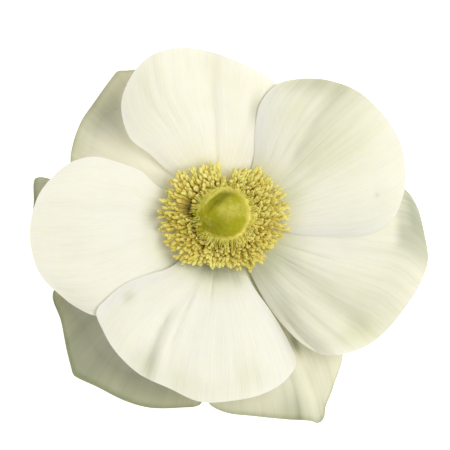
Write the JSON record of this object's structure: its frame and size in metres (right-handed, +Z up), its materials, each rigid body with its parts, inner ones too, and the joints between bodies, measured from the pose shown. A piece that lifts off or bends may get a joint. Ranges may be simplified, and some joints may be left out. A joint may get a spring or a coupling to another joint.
{
  "type": "anemone flower",
  "caption": "Single white anemone bloom with broad overlapping petals, a ring of golden stamens and a round green pistil head, picked short and lying face up.",
  "frame": {"origin": "on the surface that the bloom rests on, under the middle of its footprint", "axes": "+Z up, out of the bloom's open face; seen from above, +Y towards the top tepal and +X towards the right"},
  "size_m": [0.079, 0.0748, 0.0156],
  "materials": {
    "petal_white": "soft living petal, cream white with faint green veins, satin",
    "petal_shaded": "soft living petal, greenish cream, darker and greener than the inner ones",
    "stem_green": "green stalk, matt with fine ribs",
    "pistil_green": "yellow-green, velvety",
    "stamen_gold": "golden yellow, matt and powdery"
  },
  "bodies": {
    "root": {"tepal_inner_top": "petal_white", "tepal_inner_right": "petal_white", "tepal_inner_lower_right": "petal_white", "tepal_inner_bottom": "petal_white", "tepal_inner_left": "petal_white", "tepal_outer_upper_left": "petal_shaded", "tepal_outer_left": "petal_shaded", "tepal_outer_lower_left": "petal_shaded", "tepal_outer_bottom": "petal_shaded", "tepal_outer_right": "petal_shaded", "tepal_outer_upper_right": "petal_shaded", "stem": "stem_green", "pistil": "pistil_green", "stamens": "stamen_gold"}
  },
  "joints": []
}
